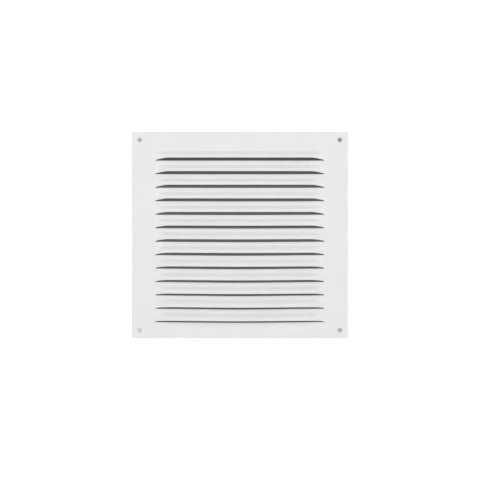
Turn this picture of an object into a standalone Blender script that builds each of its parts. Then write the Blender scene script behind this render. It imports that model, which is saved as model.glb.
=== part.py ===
"""Louvred air grille: one pressed plate with thirteen hooded louvres and a framed insect screen behind it.

Metres, +Z up. The grille hangs on a wall. The wall plane is y = 0, the front faces -Y, and the origin is
the centre of the plate's rear face.
"""

import math

import bmesh
import bpy
from mathutils import Matrix, Vector

# Plate
PLATE_WIDTH = 0.200
PLATE_HEIGHT = 0.191
SHEET = 0.001
SCREW_HOLE_RADIUS = 0.0021
SCREW_HOLE_INSET = 0.0075
SCREW_HOLE_SIDES = 20
CUTTER_LENGTH = 6 * SHEET

# Louvres
LOUVRES = 13
PITCH = 0.01245
FIRST_SLIT_Z = 0.0688
SLIT_HALF_LENGTH = 0.0783
END_RAMP = 0.012  # length over which a hood and its slot run out at each end
HOOD_HEIGHT = 0.0092  # from the slit up to the bend line
HOOD_GROWTH = 0.0007  # extra height of the lowest hood
HOOD_RISE = 0.0046
SLOPE_HEIGHT = 0.0048
SLOPE_EASE = 0.6  # 0 keeps the slope straight, 1 eases it fully at both ends
SLOT_GAP = 0.00215
SLOT_END_POWER = 0.4  # under 1 keeps the slot open for most of the ramp
SLIT_SAG = 0.0003
SLOPE_STEPS = 3

# Pressing leaves the louvred field bowed gently forward, and its rows drawn down in the middle
FIELD_BOW = 0.0012
FIELD_DROOP = 0.0007
DROOP_FADE = 0.02  # share of the field, at its bottom, over which the droop ends
HOOD_STIFFNESS = 0.3  # how much less a lip droops than the flats do
FIELD_HALF_WIDTH = 0.080
FIELD_TOP_Z = 0.0795
FIELD_BOTTOM_Z = -0.0835

# Screen behind the plate
GAP = 0.0003
TAPE_THICKNESS = 0.0005
TAPE_INSET = 0.0005
CHANNEL_WIDTH = 0.006
CHANNEL_WALL = 0.0005
CHANNEL_DEPTH = 0.0022
MESH_THICKNESS = 0.0006
MESH_LAP = 0.0042
SCREEN_HALF_WIDTH = 0.086
SCREEN_TOP_Z = 0.0860
SCREEN_BOTTOM_Z = -0.0895

TAPE_FRONT_Y = GAP
CHANNEL_FRONT_Y = TAPE_FRONT_Y + TAPE_THICKNESS + GAP
MESH_FRONT_Y = CHANNEL_FRONT_Y + (CHANNEL_DEPTH - MESH_THICKNESS) / 2

# Columns of the pressed sheet, outward from the middle
BOW_COLUMNS = (0.0, 0.024, 0.046)
RAMP_FRACTIONS = (1.0, 0.7, 0.42, 0.2, 0.06, 0.0)
MARGIN_COLUMN = 0.088
MARGIN_TOP_Z = 0.0875
MARGIN_BOTTOM_Z = -0.0910


def clear_scene():
    for item in list(bpy.data.objects):
        bpy.data.objects.remove(item, do_unlink=True)


def make_material(name, colour, roughness, metallic):
    material = bpy.data.materials.new(name)
    material.use_nodes = True
    shader = material.node_tree.nodes["Principled BSDF"]
    shader.inputs["Base Color"].default_value = (*colour, 1.0)
    shader.inputs["Roughness"].default_value = roughness
    shader.inputs["Metallic"].default_value = metallic
    return material


def add_object(name, bm, material):
    mesh = bpy.data.meshes.new(name)
    bm.to_mesh(mesh)
    bm.free()
    mesh.materials.append(material)
    piece = bpy.data.objects.new(name, mesh)
    bpy.context.collection.objects.link(piece)
    return piece


def smooth(value):
    value = min(max(value, 0.0), 1.0)
    return value * value * (3.0 - 2.0 * value)


def ramp(x):
    """How far x is from a slit's end, as a fraction of the ramp: 0 at the end, 1 once the hood is full."""
    return min(max((SLIT_HALF_LENGTH - abs(x)) / END_RAMP, 0.0), 1.0)


def sheet_point(x, z, rise=0.0):
    """A point of the sheet's front face, moved by the field's bow and droop. Hoods droop less than flats."""
    across = smooth(1.0 - abs(x) / FIELD_HALF_WIDTH)
    down = min(max((FIELD_TOP_Z - z) / (FIELD_TOP_Z - FIELD_BOTTOM_Z), 0.0), 1.0)
    bow = FIELD_BOW * across * 4.0 * down * (1.0 - down)
    give = 1.0 - HOOD_STIFFNESS * rise / HOOD_RISE
    droop = FIELD_DROOP * give * across * down * min((1.0 - down) / DROOP_FADE, 1.0)
    return (x, -SHEET - bow - rise, z - droop)


def hood_rise(x, below_bend):
    """Rise of a hood at x, this far below its bend line. The footprint's upper corners are rounded."""
    end_part = 1.0 - ramp(x)
    slope_part = min(max(1.0 - below_bend / SLOPE_HEIGHT, 0.0), 1.0)
    part = max(1.0 - math.hypot(end_part, slope_part), 0.0)
    return HOOD_RISE * (part + SLOPE_EASE * (smooth(part) - part))


def louvre_z(number):
    """Even height of a louvre, from which its hood and lip are measured."""
    return FIRST_SLIT_Z - PITCH * number


def bend_line_z(number):
    """Height at which a hood starts. The lower hoods reach up a little further."""
    down = number / (LOUVRES - 1)
    return louvre_z(number) + HOOD_HEIGHT + HOOD_GROWTH * down * down


def slit_z(number):
    """Height of the cut edge under a louvre. The slots in the middle of the field open a little more."""
    down = number / (LOUVRES - 1)
    return louvre_z(number) - SLIT_SAG * 4.0 * down * (1.0 - down)


def sheet_columns():
    ramps = [SLIT_HALF_LENGTH - END_RAMP * part for part in RAMP_FRACTIONS]
    right = [*BOW_COLUMNS, *ramps, MARGIN_COLUMN, PLATE_WIDTH / 2]
    return [-x for x in reversed(right[1:])] + right


def pressed_sheet():
    """The sheet's front face, cut along every slit and pressed out above it."""
    bm = bmesh.new()
    columns = sheet_columns()

    def flat_row(z):
        return [bm.verts.new(sheet_point(x, z)) for x in columns]

    def join(upper, lower):
        for left in range(len(columns) - 1):
            corners = (lower[left], lower[left + 1], upper[left + 1], upper[left])
            bm.faces.new(corners)

    above = flat_row(PLATE_HEIGHT / 2)
    for z in (MARGIN_TOP_Z, FIELD_TOP_Z):
        row = flat_row(z)
        join(above, row)
        above = row
    for number in range(LOUVRES):
        bend_z = bend_line_z(number)
        for step in range(SLOPE_STEPS + 1):
            drop = SLOPE_HEIGHT * step / SLOPE_STEPS
            row = [
                bm.verts.new(sheet_point(x, bend_z - drop, hood_rise(x, drop)))
                for x in columns
            ]
            join(above, row)
            above = row
        edge_z = slit_z(number)
        gap = louvre_z(number) + SLOT_GAP - edge_z
        slit_row = flat_row(edge_z)
        lip_row = []
        for x, slit_vertex in zip(columns, slit_row):
            open_part = ramp(x)
            if open_part <= 0.0:
                lip_row.append(slit_vertex)
                continue
            z = edge_z + gap * open_part**SLOT_END_POWER
            lip_row.append(bm.verts.new(sheet_point(x, z, hood_rise(x, bend_z - z))))
        join(above, lip_row)
        above = slit_row
    for z in (FIELD_BOTTOM_Z, MARGIN_BOTTOM_Z, -PLATE_HEIGHT / 2):
        row = flat_row(z)
        join(above, row)
        above = row
    return bm


def thicken(bm, depth):
    """Close the sheet: a copy of its face, moved back by the sheet's thickness, and walls on every edge."""
    extruded = bmesh.ops.extrude_face_region(bm, geom=bm.faces[:], use_keep_orig=True)
    moved = [item for item in extruded["geom"] if isinstance(item, bmesh.types.BMVert)]
    bmesh.ops.translate(bm, verts=moved, vec=(0.0, depth, 0.0))
    bmesh.ops.recalc_face_normals(bm, faces=bm.faces[:])


def screw_hole_cutter():
    bm = bmesh.new()
    turn = Matrix.Rotation(math.pi / 2, 4, "X")
    for side_x in (-1, 1):
        for side_z in (-1, 1):
            x = side_x * (PLATE_WIDTH / 2 - SCREW_HOLE_INSET)
            z = side_z * (PLATE_HEIGHT / 2 - SCREW_HOLE_INSET)
            bmesh.ops.create_cone(
                bm,
                cap_ends=True,
                segments=SCREW_HOLE_SIDES,
                radius1=SCREW_HOLE_RADIUS,
                radius2=SCREW_HOLE_RADIUS,
                depth=CUTTER_LENGTH,
                matrix=Matrix.Translation((x, 0.0, z)) @ turn,
            )
    mesh = bpy.data.meshes.new("screw_hole_cutter")
    bm.to_mesh(mesh)
    bm.free()
    cutter = bpy.data.objects.new("screw_hole_cutter", mesh)
    bpy.context.collection.objects.link(cutter)
    cutter.hide_render = True
    cutter.display_type = "WIRE"
    return cutter


def louvre_plate(material):
    bm = pressed_sheet()
    thicken(bm, SHEET)
    plate = add_object("louvre_plate", bm, material)
    holes = plate.modifiers.new("screw_holes", "BOOLEAN")
    holes.operation = "DIFFERENCE"
    holes.solver = "EXACT"
    holes.object = screw_hole_cutter()
    return plate


def frame_sides():
    """Each side of the screen frame: its two outer corners and the direction to the screen's middle."""
    left, right = -SCREEN_HALF_WIDTH, SCREEN_HALF_WIDTH
    top, bottom = SCREEN_TOP_Z, SCREEN_BOTTOM_Z
    return {
        "top": ((left, top), (right, top), (0.0, -1.0)),
        "bottom": ((right, bottom), (left, bottom), (0.0, 1.0)),
        "left": ((left, bottom), (left, top), (1.0, 0.0)),
        "right": ((right, top), (right, bottom), (-1.0, 0.0)),
    }


def mitred_bar(start, end, inward, profile):
    """A closed bar along one side of the frame, mitred at both ends, from (inward distance, y) points."""
    bm = bmesh.new()
    along = Vector((end[0] - start[0], end[1] - start[1])).normalized()
    rings = []
    for corner, back in ((start, 1.0), (end, -1.0)):
        ring = []
        for depth, y in profile:
            shift = back * (depth + GAP / 2)
            x = corner[0] + inward[0] * depth + along.x * shift
            z = corner[1] + inward[1] * depth + along.y * shift
            ring.append(bm.verts.new((x, y, z)))
        rings.append(ring)
    count = len(profile)
    for index in range(count):
        after = (index + 1) % count
        bm.faces.new((rings[0][index], rings[0][after], rings[1][after], rings[1][index]))
    bm.faces.new(rings[0])
    bm.faces.new(rings[1])
    bmesh.ops.recalc_face_normals(bm, faces=bm.faces[:])
    return bm


def bonding_tapes(material):
    back_y = TAPE_FRONT_Y + TAPE_THICKNESS
    outer, inner = TAPE_INSET, CHANNEL_WIDTH - TAPE_INSET
    profile = ((outer, TAPE_FRONT_Y), (inner, TAPE_FRONT_Y), (inner, back_y), (outer, back_y))
    for side, (start, end, inward) in frame_sides().items():
        add_object(f"bonding_tape_{side}", mitred_bar(start, end, inward, profile), material)


def screen_channels(material):
    front = CHANNEL_FRONT_Y
    back = front + CHANNEL_DEPTH
    profile = (
        (0.0, front),
        (CHANNEL_WIDTH, front),
        (CHANNEL_WIDTH, front + CHANNEL_WALL),
        (CHANNEL_WALL, front + CHANNEL_WALL),
        (CHANNEL_WALL, back - CHANNEL_WALL),
        (CHANNEL_WIDTH, back - CHANNEL_WALL),
        (CHANNEL_WIDTH, back),
        (0.0, back),
    )
    for side, (start, end, inward) in frame_sides().items():
        add_object(f"screen_channel_{side}", mitred_bar(start, end, inward, profile), material)


def insect_mesh(material):
    """The screen as one thin panel whose edges lie in the channels."""
    edge = CHANNEL_WIDTH - MESH_LAP
    bm = bmesh.new()
    bmesh.ops.create_cube(bm, size=1.0)
    width = 2 * (SCREEN_HALF_WIDTH - edge)
    height = SCREEN_TOP_Z - SCREEN_BOTTOM_Z - 2 * edge
    bmesh.ops.scale(bm, vec=(width, MESH_THICKNESS, height), verts=bm.verts)
    middle = (0.0, MESH_FRONT_Y + MESH_THICKNESS / 2, (SCREEN_TOP_Z + SCREEN_BOTTOM_Z) / 2)
    bmesh.ops.translate(bm, vec=middle, verts=bm.verts)
    add_object("insect_mesh", bm, material)


def main():
    clear_scene()
    white_coat = make_material("white_powder_coat", (0.82, 0.82, 0.81), 0.45, 0.0)
    mesh_coat = make_material("charcoal_mesh", (0.03, 0.03, 0.032), 0.6, 0.0)
    mill_aluminium = make_material("mill_aluminium", (0.72, 0.72, 0.73), 0.35, 1.0)
    tape_foam = make_material("tape_foam", (0.7, 0.7, 0.68), 0.8, 0.0)
    louvre_plate(white_coat)
    insect_mesh(mesh_coat)
    screen_channels(mill_aluminium)
    bonding_tapes(tape_foam)


main()
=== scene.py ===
"""Looks of the louvred air grille: a powder-coated pressed plate and a woven insect screen in a frame.

Metres, in the frame of the CAD model: +Z up, the front faces -Y, the wall plane is y = 0.
"""

import math

import bmesh
import bpy
from mathutils import Matrix, Vector, noise


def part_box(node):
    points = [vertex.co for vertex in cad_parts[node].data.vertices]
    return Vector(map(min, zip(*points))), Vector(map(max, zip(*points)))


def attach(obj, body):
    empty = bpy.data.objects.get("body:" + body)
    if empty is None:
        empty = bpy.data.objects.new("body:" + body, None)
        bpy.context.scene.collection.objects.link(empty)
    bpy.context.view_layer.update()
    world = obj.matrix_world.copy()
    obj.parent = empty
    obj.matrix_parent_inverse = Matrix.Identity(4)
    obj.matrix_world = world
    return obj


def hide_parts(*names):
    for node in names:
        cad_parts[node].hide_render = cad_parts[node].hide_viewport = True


MM = 0.001

# Pressed plate, as the CAD model has it
SHEET = 1.0 * MM
LOUVRES = 13
PITCH = 12.45 * MM
FIRST_SLIT_Z = 68.8 * MM
SLIT_HALF_LENGTH = 78.3 * MM
END_RAMP = 12.0 * MM  # length over which a hood and its slot run out at each end
HOOD_HEIGHT = 9.2 * MM  # from the slit up to the bend line
HOOD_GROWTH = 0.7 * MM  # extra height of the lowest hood
HOOD_RISE = 4.6 * MM
SLOPE_HEIGHT = 4.8 * MM
SLOPE_EASE = 0.6  # 0 keeps the slope straight, 1 eases it fully at both ends
SLOT_GAP = 2.15 * MM
SLOT_END_POWER = 0.4  # under 1 keeps the slot open for most of the ramp
SLIT_SAG = 0.3 * MM
FIELD_BOW = 1.2 * MM
FIELD_DROOP = 0.7 * MM
DROOP_FADE = 0.02  # share of the field, at its bottom, over which the droop ends
HOOD_STIFFNESS = 0.3  # how much less a lip droops than the flats do
FIELD_HALF_WIDTH = 80.0 * MM
FIELD_TOP_Z = 79.5 * MM
FIELD_BOTTOM_Z = -83.5 * MM
SCREW_HOLE_RADIUS = 2.1 * MM
SCREW_HOLE_INSET = 7.5 * MM
CUTTER_LENGTH = 6 * SHEET

# Fineness of the pressed plate
MIDDLE_COLUMNS = 11
RAMP_COLUMNS = 14
RAMP_CROWDING = 1.5  # over 1 crowds the columns towards the slits' ends
MARGIN_COLUMNS = 4
MARGIN_ROWS = 4
SLOPE_ROWS = 14
LIP_ROWS = 3
FLAT_ROWS = 3
SCREW_HOLE_SIDES = 48
EDGE_ROUND = 0.16 * MM
EDGE_SEGMENTS = 2
EDGE_ANGLE = math.radians(50)  # edges sharper than this are rolled

# Woven screen
STRAND_PITCH = 1.8 * MM
STRAND_RADIUS = 0.14 * MM
STRAND_SIDES = 5
STEPS_PER_PITCH = 2
SCREEN_EDGE_ROOM = 0.5  # pitches, at least, that the strands leave free across the panel

# Folded channels and tape
SIDES = ("top", "bottom", "left", "right")
JOINT_GAP = 0.15 * MM
CHANNEL_WALL = 0.5 * MM
FOLD_RADIUS = 0.45 * MM
FOLD_STEPS = 5
LIP_RADIUS = 0.12 * MM
LIP_STEPS = 3
BACK_STEPS = 8
STATION_SPACING = 0.6 * MM
CRIMP_SPACING = 24.0 * MM
CRIMP_RADIUS = 1.5 * MM
CRIMP_DEPTH = 0.22 * MM
CRIMP_PLACE = 0.6  # share of the channel's width, from its outer edge
CHANNEL_SHARP_ANGLE = math.radians(40)
TAPE_WANDER = 0.25 * MM
TAPE_SWAY_SCALE = (90.0, 200.0, 100.0)  # noise per metre along the tape, inward and in depth
TAPE_EDGE_RADIUS = 0.1 * MM
TAPE_EDGE_STEPS = 2
TAPE_SHARP_ANGLE = math.radians(50)

# Tone of the coat, from neutral at the upper left to slightly warm at the lower right
DIAGONAL_X_WEIGHT = 0.6
DRIFT_REACH = 0.10

# Camera, facing the plate squarely
CAMERA_DISTANCE = 0.440
CAMERA_AIM = (0.2 * MM, -SHEET, -4.6 * MM)
VIEW_WIDTH = 0.4436  # at the sheet's front face
SENSOR_WIDTH = 36.0

# Soft studio lights
SOFTBOX_DISTANCE = 3.2
SOFTBOX_SIZE = 1.75
FILL_LEVEL = 0.346
BACKGROUND_LEVEL = 1.12  # white that the camera sees behind the object

# Floor, and cards that show a shaded wall behind the slots and screw holes
FLOOR_HALF = 4.0
FLOOR_Z = -0.30
CARD_GAP = 0.1 * MM
SHADE_LOWER_Z = 45.0 * MM
SHADE_UPPER_Z = 75.0 * MM
HOLE_CARD_LAP = 0.5 * MM
HOLE_CARD_SIDES = 24


def smooth(value):
    value = min(max(value, 0.0), 1.0)
    return value * value * (3.0 - 2.0 * value)


def spread(start, end, count):
    """count + 1 values from start to end."""
    return [start + (end - start) * step / count for step in range(count + 1)]


# Materials


def new_material(name):
    material = bpy.data.materials.new(name)
    material.use_nodes = True
    return material, material.node_tree.nodes["Principled BSDF"]


def node(material, kind, **settings):
    made = material.node_tree.nodes.new(kind)
    for name, value in settings.items():
        if hasattr(made, name):
            setattr(made, name, value)
        else:
            made.inputs[name.replace("_", " ").title()].default_value = value
    return made


def link(material, source, target):
    material.node_tree.links.new(source, target)


def object_place(material, stretch=(1.0, 1.0, 1.0)):
    """The point's place on the object, in metres, with each axis multiplied by its stretch."""
    place = node(material, "ShaderNodeTexCoord")
    mapping = node(material, "ShaderNodeMapping")
    mapping.inputs["Scale"].default_value = stretch
    link(material, place.outputs["Object"], mapping.inputs["Vector"])
    return mapping.outputs["Vector"]


def noise_value(material, place, scale, detail=2.0, roughness=0.5):
    texture = node(material, "ShaderNodeTexNoise", scale=scale, detail=detail, roughness=roughness)
    link(material, place, texture.inputs["Vector"])
    return texture.outputs["Fac"]


def ranged(material, value, low=0.0, high=1.0, start=0.3, end=0.7):
    """A number that goes from low to high as value goes from start to end."""
    spread_out = node(material, "ShaderNodeMapRange")
    for name, number in (("From Min", start), ("From Max", end), ("To Min", low), ("To Max", high)):
        spread_out.inputs[name].default_value = number
    link(material, value, spread_out.inputs["Value"])
    return spread_out.outputs["Result"]


def mixed_colour(material, value, first, second):
    mix = node(material, "ShaderNodeMix", data_type="RGBA")
    link(material, value, mix.inputs["Factor"])
    for name, colour in (("A", first), ("B", second)):
        socket = next(s for s in mix.inputs if s.name == name and s.type == "RGBA")
        if isinstance(colour, tuple):
            socket.default_value = (*colour, 1.0)
        else:
            link(material, colour, socket)
    return next(s for s in mix.outputs if s.type == "RGBA")


def bump(material, height, strength, distance, under=None):
    made = node(material, "ShaderNodeBump")
    made.inputs["Strength"].default_value = strength
    made.inputs["Distance"].default_value = distance
    link(material, height, made.inputs["Height"])
    if under is not None:
        link(material, under, made.inputs["Normal"])
    return made.outputs["Normal"]


def facing_up(material):
    """How far the surface faces up: 0 on a wall, 1 on a shelf."""
    geometry = node(material, "ShaderNodeNewGeometry")
    parts = node(material, "ShaderNodeSeparateXYZ")
    link(material, geometry.outputs["Normal"], parts.inputs["Vector"])
    return parts.outputs["Z"]


def along_diagonal(material):
    """How far a point lies towards the plate's lower right, in metres."""
    place = node(material, "ShaderNodeTexCoord")
    parts = node(material, "ShaderNodeSeparateXYZ")
    link(material, place.outputs["Object"], parts.inputs["Vector"])
    across = node(material, "ShaderNodeMath", operation="MULTIPLY")
    across.inputs[1].default_value = DIAGONAL_X_WEIGHT
    link(material, parts.outputs["X"], across.inputs[0])
    total = node(material, "ShaderNodeMath", operation="SUBTRACT")
    link(material, across.outputs[0], total.inputs[0])
    link(material, parts.outputs["Z"], total.inputs[1])
    return total.outputs[0]


def powder_coat():
    material, shader = new_material("white_powder_coat_finish")
    place = object_place(material)
    cloud = ranged(material, noise_value(material, place, scale=28.0, detail=4.0))
    # The coat's tone drifts from neutral at the upper left to slightly warm at the lower right
    neutral_coat = mixed_colour(material, cloud, (0.797, 0.797, 0.797), (0.814, 0.814, 0.814))
    warm_coat = mixed_colour(material, cloud, (0.800, 0.800, 0.788), (0.817, 0.817, 0.804))
    drift = ranged(material, along_diagonal(material), start=-DRIFT_REACH, end=DRIFT_REACH)
    coat = mixed_colour(material, drift, neutral_coat, warm_coat)
    fine_noise = noise_value(material, place, scale=1600.0)
    speck = ranged(material, fine_noise, low=0.0, high=0.25, start=0.62, end=0.75)
    speckled = mixed_colour(material, speck, coat, (0.70, 0.70, 0.69))
    # Surfaces that face up turn greyer: partly settled dust, partly painted shade on the up-facing hood
    # slopes
    dust_and_shade_patches = noise_value(material, place, scale=240.0, detail=3.0)
    up_facing_dust_and_shade = ranged(material, facing_up(material), low=0.0, high=0.10, start=0.15, end=1.0)
    dust_and_shade_amount = node(material, "ShaderNodeMath", operation="MULTIPLY")
    link(material, up_facing_dust_and_shade, dust_and_shade_amount.inputs[0])
    link(material, ranged(material, dust_and_shade_patches, low=0.4, high=1.0), dust_and_shade_amount.inputs[1])
    dust_and_shade_coat = mixed_colour(material, dust_and_shade_amount.outputs[0], speckled, (0.66, 0.655, 0.64))
    link(material, dust_and_shade_coat, shader.inputs["Base Color"])
    rough = ranged(material, noise_value(material, place, scale=90.0, detail=3.0), low=0.36, high=0.46)
    link(material, rough, shader.inputs["Roughness"])
    orange_peel = noise_value(material, place, scale=620.0)
    peel = bump(material, orange_peel, strength=0.35, distance=0.06 * MM)
    fine_grain = noise_value(material, place, scale=2600.0, detail=1.0)
    grain = bump(material, fine_grain, strength=0.2, distance=0.02 * MM, under=peel)
    link(material, grain, shader.inputs["Normal"])
    shader.inputs["Specular IOR Level"].default_value = 0.45
    return material


def coated_strand():
    material, shader = new_material("charcoal_mesh_finish")
    place = object_place(material)
    tone = ranged(material, noise_value(material, place, scale=420.0, detail=3.0))
    coat = mixed_colour(material, tone, (0.022, 0.022, 0.024), (0.045, 0.045, 0.047))
    link(material, coat, shader.inputs["Base Color"])
    rough = ranged(material, noise_value(material, place, scale=900.0), low=0.38, high=0.6)
    link(material, rough, shader.inputs["Roughness"])
    fibres = noise_value(material, place, scale=5200.0)
    link(material, bump(material, fibres, strength=0.4, distance=0.02 * MM), shader.inputs["Normal"])
    return material


def mill_aluminium(name, stretch):
    """Rolled aluminium strip. The stretch is small along the strip, so the rolling lines run along it."""
    material, shader = new_material(name)
    lines = object_place(material, stretch)
    place = object_place(material)
    line_value = noise_value(material, lines, scale=3800.0, detail=3.0, roughness=0.7)
    tone = ranged(material, line_value, start=0.25, end=0.75)
    bright = mixed_colour(material, tone, (0.60, 0.605, 0.615), (0.76, 0.765, 0.77))
    clouds = noise_value(material, place, scale=75.0, detail=4.0)
    haze = ranged(material, clouds, low=0.0, high=0.35, start=0.45, end=0.75)
    link(material, mixed_colour(material, haze, bright, (0.50, 0.50, 0.50)), shader.inputs["Base Color"])
    rough = ranged(material, line_value, low=0.26, high=0.44, start=0.25, end=0.75)
    link(material, rough, shader.inputs["Roughness"])
    link(material, bump(material, line_value, strength=0.3, distance=0.02 * MM), shader.inputs["Normal"])
    shader.inputs["Metallic"].default_value = 1.0
    return material


def foam_tape():
    material, shader = new_material("tape_foam_finish")
    place = object_place(material)
    cell_map = node(material, "ShaderNodeTexVoronoi", feature="F1")
    cell_map.inputs["Scale"].default_value = 4200.0
    link(material, place, cell_map.inputs["Vector"])
    cells = cell_map.outputs["Distance"]
    # The foam's cell tone is darkest in the pore pits where the bump dips: partly its own colour, partly
    # painted shade
    tone = ranged(material, cells, start=0.1, end=0.7)
    foam = mixed_colour(material, tone, (0.50, 0.49, 0.46), (0.70, 0.69, 0.66))
    link(material, foam, shader.inputs["Base Color"])
    rough = ranged(material, cells, low=0.95, high=0.75, start=0.1, end=0.7)
    link(material, rough, shader.inputs["Roughness"])
    link(material, bump(material, cells, strength=0.6, distance=0.08 * MM), shader.inputs["Normal"])
    return material


# Pieces


def finish_piece(name, bm, material, replaced):
    """Turns a bmesh into a named piece that rides on the plate and stands for a CAD node."""
    mesh = bpy.data.meshes.new(name)
    bmesh.ops.recalc_face_normals(bm, faces=bm.faces[:])
    bm.to_mesh(mesh)
    bm.free()
    mesh.materials.append(material)
    mesh.shade_smooth()
    piece = bpy.data.objects.new(name, mesh)
    bpy.context.scene.collection.objects.link(piece)
    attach(piece, "root")
    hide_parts(replaced)
    return piece


def ramp(x):
    """How far x is from a slit's end, as a fraction of the ramp: 0 at the end, 1 once the hood is full."""
    return min(max((SLIT_HALF_LENGTH - abs(x)) / END_RAMP, 0.0), 1.0)


def sheet_point(x, z, rise=0.0):
    """A point of the sheet's front face, with the field's bow and droop. Hoods droop less than flats."""
    across = smooth(1.0 - abs(x) / FIELD_HALF_WIDTH)
    down = min(max((FIELD_TOP_Z - z) / (FIELD_TOP_Z - FIELD_BOTTOM_Z), 0.0), 1.0)
    bow = FIELD_BOW * across * 4.0 * down * (1.0 - down)
    give = 1.0 - HOOD_STIFFNESS * rise / HOOD_RISE
    droop = FIELD_DROOP * give * across * down * min((1.0 - down) / DROOP_FADE, 1.0)
    return (x, -SHEET - bow - rise, z - droop)


def hood_rise(x, below_bend):
    """Rise of a hood at x, this far below its bend line. The footprint's upper corners are rounded."""
    end_part = 1.0 - ramp(x)
    slope_part = min(max(1.0 - below_bend / SLOPE_HEIGHT, 0.0), 1.0)
    part = max(1.0 - math.hypot(end_part, slope_part), 0.0)
    return HOOD_RISE * (part + SLOPE_EASE * (smooth(part) - part))


def louvre_z(number):
    """Even height of a louvre, from which its hood and lip are measured."""
    return FIRST_SLIT_Z - PITCH * number


def bend_line_z(number):
    """Height at which a hood starts. The lower hoods reach up a little further."""
    down = number / (LOUVRES - 1)
    return louvre_z(number) + HOOD_HEIGHT + HOOD_GROWTH * down * down


def slit_z(number):
    """Height of the cut edge under a louvre. The slots in the middle of the field open a little more."""
    down = number / (LOUVRES - 1)
    return louvre_z(number) - SLIT_SAG * 4.0 * down * (1.0 - down)


def sheet_columns(half_width):
    """Columns across the sheet: even in the middle, closer towards the slits' ends."""
    full = SLIT_HALF_LENGTH - END_RAMP
    middle = spread(0.0, full, MIDDLE_COLUMNS)
    from_end = [1.0 - step / RAMP_COLUMNS for step in range(1, RAMP_COLUMNS + 1)]
    ends = [SLIT_HALF_LENGTH - END_RAMP * part**RAMP_CROWDING for part in from_end]
    margin = spread(FIELD_HALF_WIDTH, half_width, MARGIN_COLUMNS)
    right = middle + ends + margin
    return [-x for x in reversed(right[1:])] + right


def pressed_sheet(half_width, half_height):
    """The sheet's front face, cut along every slit and pressed out above it."""
    bm = bmesh.new()
    columns = sheet_columns(half_width)

    def flat_row(z):
        return [bm.verts.new(sheet_point(x, z)) for x in columns]

    def join(upper, lower):
        for left in range(len(columns) - 1):
            corners = (lower[left], lower[left + 1], upper[left + 1], upper[left])
            bm.faces.new(corners)

    def add_flats(above, heights):
        """Joins a flat row at each height under the row above, and gives the last one."""
        for z in heights:
            row = flat_row(z)
            join(above, row)
            above = row
        return above

    above = add_flats(flat_row(half_height), spread(half_height, FIELD_TOP_Z, MARGIN_ROWS)[1:])
    for number in range(LOUVRES):
        bend_z = bend_line_z(number)
        for drop in spread(0.0, SLOPE_HEIGHT, SLOPE_ROWS):
            row = [bm.verts.new(sheet_point(x, bend_z - drop, hood_rise(x, drop))) for x in columns]
            join(above, row)
            above = row
        lip_top_z = bend_z - SLOPE_HEIGHT
        cut_z = slit_z(number)
        gap = louvre_z(number) + SLOT_GAP - cut_z
        slit_row = flat_row(cut_z)
        for part in spread(0.0, 1.0, LIP_ROWS)[1:]:
            lip_row = []
            for x, slit_vertex in zip(columns, slit_row):
                open_part = ramp(x)
                if part == 1.0 and open_part <= 0.0:
                    lip_row.append(slit_vertex)
                    continue
                edge_z = cut_z + gap * open_part**SLOT_END_POWER
                z = lip_top_z + (edge_z - lip_top_z) * part
                lip_row.append(bm.verts.new(sheet_point(x, z, hood_rise(x, bend_z - z))))
            join(above, lip_row)
            above = lip_row
        above = slit_row
        if number < LOUVRES - 1:
            above = add_flats(above, spread(cut_z, bend_line_z(number + 1), FLAT_ROWS)[1:-1])
    add_flats(above, spread(FIELD_BOTTOM_Z, -half_height, MARGIN_ROWS))
    return bm


def thicken(bm, depth):
    """Close the sheet: a copy of its face, moved back by the sheet's thickness, and walls on every edge."""
    extruded = bmesh.ops.extrude_face_region(bm, geom=bm.faces[:], use_keep_orig=True)
    moved = [item for item in extruded["geom"] if isinstance(item, bmesh.types.BMVert)]
    bmesh.ops.translate(bm, verts=moved, vec=(0.0, depth, 0.0))


def punch_screw_holes(plate, half_width, half_height):
    bm = bmesh.new()
    turn = Matrix.Rotation(math.pi / 2, 4, "X")
    for side_x in (-1, 1):
        for side_z in (-1, 1):
            x = side_x * (half_width - SCREW_HOLE_INSET)
            z = side_z * (half_height - SCREW_HOLE_INSET)
            bmesh.ops.create_cone(
                bm,
                cap_ends=True,
                segments=SCREW_HOLE_SIDES,
                radius1=SCREW_HOLE_RADIUS,
                radius2=SCREW_HOLE_RADIUS,
                depth=CUTTER_LENGTH,
                matrix=Matrix.Translation((x, 0.0, z)) @ turn,
            )
    mesh = bpy.data.meshes.new("hole_punch")
    bm.to_mesh(mesh)
    bm.free()
    punch = bpy.data.objects.new("hole_punch", mesh)
    bpy.context.scene.collection.objects.link(punch)
    cut = plate.modifiers.new("screw_holes", "BOOLEAN")
    cut.operation = "DIFFERENCE"
    cut.solver = "EXACT"
    cut.object = punch
    apply_modifiers(plate)
    bpy.data.objects.remove(punch)


def apply_modifiers(piece):
    """Keeps the piece's evaluated shape as its mesh."""
    graph = bpy.context.evaluated_depsgraph_get()
    shaped = bpy.data.meshes.new_from_object(piece.evaluated_get(graph))
    piece.modifiers.clear()
    piece.data = shaped


def round_edges(piece):
    bevel = piece.modifiers.new("rolled_edges", "BEVEL")
    bevel.width = EDGE_ROUND
    bevel.segments = EDGE_SEGMENTS
    bevel.limit_method = "ANGLE"
    bevel.angle_limit = EDGE_ANGLE
    bevel.use_clamp_overlap = False
    weighted = piece.modifiers.new("flat_faces_stay_flat", "WEIGHTED_NORMAL")
    weighted.keep_sharp = True
    apply_modifiers(piece)


def make_plate(material):
    low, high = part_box("louvre_plate")
    half_width = (high.x - low.x) / 2
    half_height = (high.z - low.z) / 2
    bm = pressed_sheet(half_width, half_height)
    thicken(bm, SHEET)
    plate = finish_piece("pressed_plate", bm, material, "louvre_plate")
    punch_screw_holes(plate, half_width, half_height)
    round_edges(plate)


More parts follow.
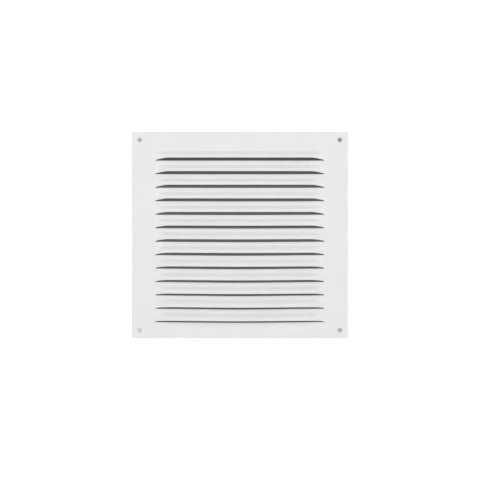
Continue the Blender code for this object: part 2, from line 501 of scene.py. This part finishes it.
def close_bar(bm, rings):
    """Joins rings of vertices, one after the other, into a closed bar."""
    count = len(rings[0])
    for first, second in zip(rings, rings[1:]):
        for index in range(count):
            after = (index + 1) % count
            bm.faces.new((first[index], first[after], second[after], second[index]))
    bm.faces.new(rings[0])
    bm.faces.new(rings[-1])


def woven_strands(count, length, across_start, along_start, middle_y, vertical):
    """Parallel strands that pass in turn over and under the strands that cross them."""
    bm = bmesh.new()
    steps = round(length / STRAND_PITCH) * STEPS_PER_PITCH
    angles = [2.0 * math.pi * side / STRAND_SIDES for side in range(STRAND_SIDES)]
    phase = 0.0 if vertical else math.pi
    for strand in range(count):
        across = across_start + STRAND_PITCH * strand
        rings = []
        for step in range(steps + 1):
            turn = math.pi * (step / STEPS_PER_PITCH + strand) + phase
            along = along_start + STRAND_PITCH * step / STEPS_PER_PITCH
            y = middle_y + STRAND_RADIUS * math.cos(turn)
            slope = -STRAND_RADIUS * math.sin(turn) * math.pi / STRAND_PITCH
            scale = 1.0 / math.hypot(1.0, slope)
            ring = []
            for angle in angles:
                side_move = STRAND_RADIUS * math.cos(angle)
                out_move = STRAND_RADIUS * math.sin(angle) * scale
                here_across = across + side_move
                here_along = along - out_move * slope
                x, z = (here_across, here_along) if vertical else (here_along, here_across)
                ring.append(bm.verts.new((x, y + out_move, z)))
            rings.append(ring)
        close_bar(bm, rings)
    return bm


def make_screen(material):
    low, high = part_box("insect_mesh")
    middle_y = (low.y + high.y) / 2
    across_pitches = math.floor((high.x - low.x) / STRAND_PITCH - SCREEN_EDGE_ROOM)
    up_pitches = math.floor((high.z - low.z) / STRAND_PITCH - SCREEN_EDGE_ROOM)
    left = (low.x + high.x - across_pitches * STRAND_PITCH) / 2
    bottom = (low.z + high.z - up_pitches * STRAND_PITCH) / 2
    width = across_pitches * STRAND_PITCH
    height = up_pitches * STRAND_PITCH
    warp = woven_strands(across_pitches + 1, height, left, bottom, middle_y, True)
    finish_piece("screen_warp", warp, material, "insect_mesh")
    weft = woven_strands(up_pitches + 1, width, bottom, left, middle_y, False)
    finish_piece("screen_weft", weft, material, "insect_mesh")


def arc(centre_depth, centre_y, radius, start, end, steps):
    """Profile points on an arc, with its angles in quarter turns from the inward direction towards +Y."""
    points = []
    for turn in spread(start, end, steps):
        angle = turn * math.pi / 2
        points.append((centre_depth + radius * math.cos(angle), centre_y + radius * math.sin(angle)))
    return points


def channel_profile(width, depth):
    """A strip folded twice into a U that opens inward, as (inward distance, y) points from its front."""
    outer = FOLD_RADIUS
    lip = LIP_RADIUS
    wall = CHANNEL_WALL
    lip_middle = width - lip
    corner = wall + lip
    front_lip = arc(lip_middle, lip, lip, -1.0, 0.0, LIP_STEPS)
    front_lip += arc(lip_middle, wall - lip, lip, 0.0, 1.0, LIP_STEPS)
    inside = arc(corner, corner, lip, -1.0, -2.0, LIP_STEPS)
    inside += arc(corner, depth - corner, lip, 2.0, 1.0, LIP_STEPS)
    back_lip = arc(lip_middle, depth - wall + lip, lip, -1.0, 0.0, LIP_STEPS)
    back_lip += arc(lip_middle, depth - lip, lip, 0.0, 1.0, LIP_STEPS)
    back_face = [(part, depth) for part in spread(lip_middle, outer, BACK_STEPS)[1:-1]]
    folds = arc(outer, depth - outer, outer, 1.0, 2.0, FOLD_STEPS)
    folds += arc(outer, outer, outer, 2.0, 3.0, FOLD_STEPS)
    return front_lip + inside + back_lip + back_face + folds


def frame_sides(low, high):
    """Each side of the screen frame: its two outer corners and the direction to the screen's middle."""
    return {
        "top": ((low.x, high.z), (high.x, high.z), (0.0, -1.0)),
        "bottom": ((high.x, low.z), (low.x, low.z), (0.0, 1.0)),
        "left": ((low.x, low.z), (low.x, high.z), (1.0, 0.0)),
        "right": ((high.x, high.z), (high.x, low.z), (-1.0, 0.0)),
    }


def mitred_bar(side, profile, place_point):
    """A closed bar along one side of the frame, mitred at both ends and cut into short stations.

    place_point(along, depth, y) moves a profile point: along is metres from the bar's start.
    """
    start, end, inward = side
    run = Vector((end[0] - start[0], end[1] - start[1]))
    length = run.length
    run.normalize()
    bm = bmesh.new()
    stations = max(round(length / STATION_SPACING), 2)
    rings = []
    for station in range(stations + 1):
        ring = []
        for depth, y in profile:
            inset = depth + JOINT_GAP
            along = inset + (length - 2 * inset) * station / stations
            moved_depth, moved_y = place_point(along, depth, y)
            x = start[0] + run.x * along + inward[0] * moved_depth
            z = start[1] + run.y * along + inward[1] * moved_depth
            ring.append(bm.verts.new((x, moved_y, z)))
        rings.append(ring)
    close_bar(bm, rings)
    return bm


def node_union(names):
    """The lowest and highest corners of several CAD nodes together."""
    lows, highs = zip(*(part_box(name) for name in names))
    low = Vector([min(corner[axis] for corner in lows) for axis in range(3)])
    high = Vector([max(corner[axis] for corner in highs) for axis in range(3)])
    return low, high


def make_channels(materials):
    low, high = node_union([f"screen_channel_{side}" for side in SIDES])
    top_low, top_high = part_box("screen_channel_top")
    width = top_high.z - top_low.z
    depth = high.y - low.y
    profile = channel_profile(width, depth)

    def crimped(along, inward_depth, y):
        """Round punch marks along the back wall, which pinch it onto the screen."""
        from_mark = (along + CRIMP_SPACING / 2) % CRIMP_SPACING - CRIMP_SPACING / 2
        off = math.hypot(from_mark, inward_depth - width * CRIMP_PLACE)
        on_back = y > depth - CHANNEL_WALL / 2
        dent = CRIMP_DEPTH * smooth(1.0 - off / CRIMP_RADIUS) if on_back else 0.0
        return inward_depth, low.y + y - dent

    for side, corners in frame_sides(low, high).items():
        bm = mitred_bar(corners, profile, crimped)
        name, replaced = f"folded_channel_{side}", f"screen_channel_{side}"
        piece = finish_piece(name, bm, materials[side], replaced)
        piece.data.set_sharp_from_angle(angle=CHANNEL_SHARP_ANGLE)


def make_tapes(material):
    low, high = node_union([f"bonding_tape_{side}" for side in SIDES])
    top_low, top_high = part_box("bonding_tape_top")
    width = top_high.z - top_low.z
    depth = high.y - low.y
    edge = TAPE_EDGE_RADIUS
    outer, inner = TAPE_WANDER + edge, width - TAPE_WANDER - edge
    profile = arc(inner, edge, edge, -1.0, 0.0, TAPE_EDGE_STEPS)
    profile += arc(inner, depth - edge, edge, 0.0, 1.0, TAPE_EDGE_STEPS)
    profile += arc(outer, depth - edge, edge, 1.0, 2.0, TAPE_EDGE_STEPS)
    profile += arc(outer, edge, edge, 2.0, 3.0, TAPE_EDGE_STEPS)

    def wandering(along, inward_depth, y):
        """Hand-laid tape, whose two cut edges wander a little."""
        place = [part * scale for part, scale in zip((along, inward_depth, y), TAPE_SWAY_SCALE)]
        sway = noise.noise(Vector(place))
        return inward_depth + TAPE_WANDER * sway, low.y + y

    for side, corners in frame_sides(low, high).items():
        bm = mitred_bar(corners, profile, wandering)
        piece = finish_piece(f"foam_tape_{side}", bm, material, f"bonding_tape_{side}")
        piece.data.set_sharp_from_angle(angle=TAPE_SHARP_ANGLE)


# Stage


def stage_mesh(name, corners, faces, material):
    mesh = bpy.data.meshes.new(name)
    mesh.from_pydata(corners, [], faces)
    mesh.materials.append(material)
    made = bpy.data.objects.new(name, mesh)
    bpy.context.scene.collection.objects.link(made)
    return made


def camera_or(material, seen, lit):
    """Shows one shader to the camera and another to every other ray."""
    path = node(material, "ShaderNodeLightPath")
    choose = node(material, "ShaderNodeMixShader")
    link(material, path.outputs["Is Camera Ray"], choose.inputs[0])
    link(material, lit.outputs[0], choose.inputs[1])
    link(material, seen.outputs[0], choose.inputs[2])
    link(material, choose.outputs[0], material.node_tree.nodes["Material Output"].inputs["Surface"])


def make_floor():
    """A pale floor, bright enough for its far edge to melt into the white background."""
    material, shader = new_material("pale_floor")
    shader.inputs["Base Color"].default_value = (0.9, 0.9, 0.89, 1.0)
    shader.inputs["Roughness"].default_value = 0.9
    glow = node(material, "ShaderNodeEmission")
    glow.inputs["Color"].default_value = (1.0, 1.0, 1.0, 1.0)
    glow.inputs["Strength"].default_value = BACKGROUND_LEVEL
    camera_or(material, glow, shader)
    half, z = FLOOR_HALF, FLOOR_Z
    corners = [(-half, -half, z), (half, -half, z), (half, half, z), (-half, half, z)]
    stage_mesh("floor", corners, [(0, 1, 2, 3)], material)


def shade_material(name, top_shade, lower_shade):
    """A wall in the plate's own shade: darkest behind the top louvres, and nothing from behind."""
    material = bpy.data.materials.new(name)
    material.use_nodes = True
    tree = material.node_tree
    tree.nodes.remove(tree.nodes["Principled BSDF"])
    place = node(material, "ShaderNodeTexCoord")
    parts = node(material, "ShaderNodeSeparateXYZ")
    link(material, place.outputs["Object"], parts.inputs["Vector"])
    height = ranged(material, parts.outputs["Z"], start=SHADE_LOWER_Z, end=SHADE_UPPER_Z)
    glow = node(material, "ShaderNodeEmission")
    link(material, mixed_colour(material, height, lower_shade, top_shade), glow.inputs["Color"])
    geometry = node(material, "ShaderNodeNewGeometry")
    clear = node(material, "ShaderNodeBsdfTransparent")
    choose = node(material, "ShaderNodeMixShader")
    link(material, geometry.outputs["Backfacing"], choose.inputs[0])
    link(material, glow.outputs[0], choose.inputs[1])
    link(material, clear.outputs[0], choose.inputs[2])
    link(material, choose.outputs[0], tree.nodes["Material Output"].inputs["Surface"])
    return material


def only_camera_sees(thing):
    thing.visible_diffuse = False
    thing.visible_glossy = False
    thing.visible_transmission = False
    thing.visible_shadow = False


def make_shaded_wall():
    """The shaded wall that shows through the slots and the screw holes of a mounted grille."""
    low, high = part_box("insect_mesh")
    y = high.y + CARD_GAP
    corners = [(low.x, y, low.z), (high.x, y, low.z), (high.x, y, high.z), (low.x, y, high.z)]
    shade = shade_material("slot_shade", (0.086, 0.086, 0.086), (0.138, 0.138, 0.133))
    only_camera_sees(stage_mesh("wall_behind_slots", corners, [(0, 1, 2, 3)], shade))
    low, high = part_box("louvre_plate")
    y = CARD_GAP
    radius = SCREW_HOLE_RADIUS + HOLE_CARD_LAP
    angles = [2.0 * math.pi * step / HOLE_CARD_SIDES for step in range(HOLE_CARD_SIDES)]
    for name, side_x, side_z, level in (
        ("top_left", -1, 1, 0.46),
        ("top_right", 1, 1, 0.31),
        ("bottom_left", -1, -1, 0.61),
        ("bottom_right", 1, -1, 0.43),
    ):
        x = side_x * (high.x - SCREW_HOLE_INSET)
        z = side_z * (high.z - SCREW_HOLE_INSET)
        rim = [(x + radius * math.cos(angle), y, z + radius * math.sin(angle)) for angle in angles]
        grey = (level, level, level)
        shade = shade_material(f"hole_shade_{name}", grey, grey)
        face = tuple(range(HOLE_CARD_SIDES))
        only_camera_sees(stage_mesh(f"wall_behind_hole_{name}", rim, [face], shade))


def make_world():
    world = bpy.data.worlds.new("studio")
    bpy.context.scene.world = world
    world.use_nodes = True
    tree = world.node_tree
    background = tree.nodes["Background"]
    path = tree.nodes.new("ShaderNodeLightPath")
    level = tree.nodes.new("ShaderNodeMapRange")
    level.inputs["To Min"].default_value = FILL_LEVEL
    level.inputs["To Max"].default_value = BACKGROUND_LEVEL
    tree.links.new(path.outputs["Is Camera Ray"], level.inputs["Value"])
    tree.links.new(level.outputs["Result"], background.inputs["Strength"])
    background.inputs["Color"].default_value = (1.0, 1.0, 1.0, 1.0)


def add_softbox(name, azimuth, elevation, watts):
    """A square soft light that faces the origin. Azimuth 0 is in front, and it grows to the right."""
    turn, rise = math.radians(azimuth), math.radians(elevation)
    away = Vector((math.sin(turn) * math.cos(rise), -math.cos(turn) * math.cos(rise), math.sin(rise)))
    light = bpy.data.lights.new(name, "AREA")
    light.size = SOFTBOX_SIZE
    light.energy = watts
    holder = bpy.data.objects.new(name, light)
    bpy.context.scene.collection.objects.link(holder)
    holder.location = away * SOFTBOX_DISTANCE
    holder.rotation_euler = away.to_track_quat("Z", "Y").to_euler()
    holder.visible_camera = False


def make_camera():
    camera = bpy.data.cameras.new("camera")
    camera.sensor_width = SENSOR_WIDTH
    camera.lens = SENSOR_WIDTH * CAMERA_DISTANCE / VIEW_WIDTH
    holder = bpy.data.objects.new("camera", camera)
    bpy.context.scene.collection.objects.link(holder)
    holder.location = Vector(CAMERA_AIM) - Vector((0.0, CAMERA_DISTANCE, 0.0))
    holder.rotation_euler = (math.pi / 2, 0.0, 0.0)
    bpy.context.scene.camera = holder


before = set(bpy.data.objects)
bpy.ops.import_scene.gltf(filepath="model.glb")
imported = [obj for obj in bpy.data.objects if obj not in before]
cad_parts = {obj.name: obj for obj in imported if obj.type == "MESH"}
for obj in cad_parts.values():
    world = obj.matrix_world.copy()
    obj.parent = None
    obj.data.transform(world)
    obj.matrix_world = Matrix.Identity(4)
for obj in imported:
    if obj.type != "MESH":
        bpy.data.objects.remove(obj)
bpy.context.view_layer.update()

make_camera()
make_plate(powder_coat())
make_screen(coated_strand())
across_strip = mill_aluminium("mill_aluminium_across", (0.02, 1.0, 1.0))
upright_strip = mill_aluminium("mill_aluminium_upright", (1.0, 1.0, 0.02))
strips = {"top": across_strip, "bottom": across_strip, "left": upright_strip, "right": upright_strip}
make_channels(strips)
make_tapes(foam_tape())

make_floor()
make_shaded_wall()
make_world()
add_softbox("left_softbox", azimuth=-46, elevation=19, watts=36.0)
add_softbox("right_softbox", azimuth=50, elevation=20, watts=34.3)
add_softbox("front_softbox", azimuth=0, elevation=35, watts=10.0)
add_softbox("rear_softbox", azimuth=155, elevation=30, watts=40.0)
bpy.context.scene.view_settings.view_transform = "Standard"
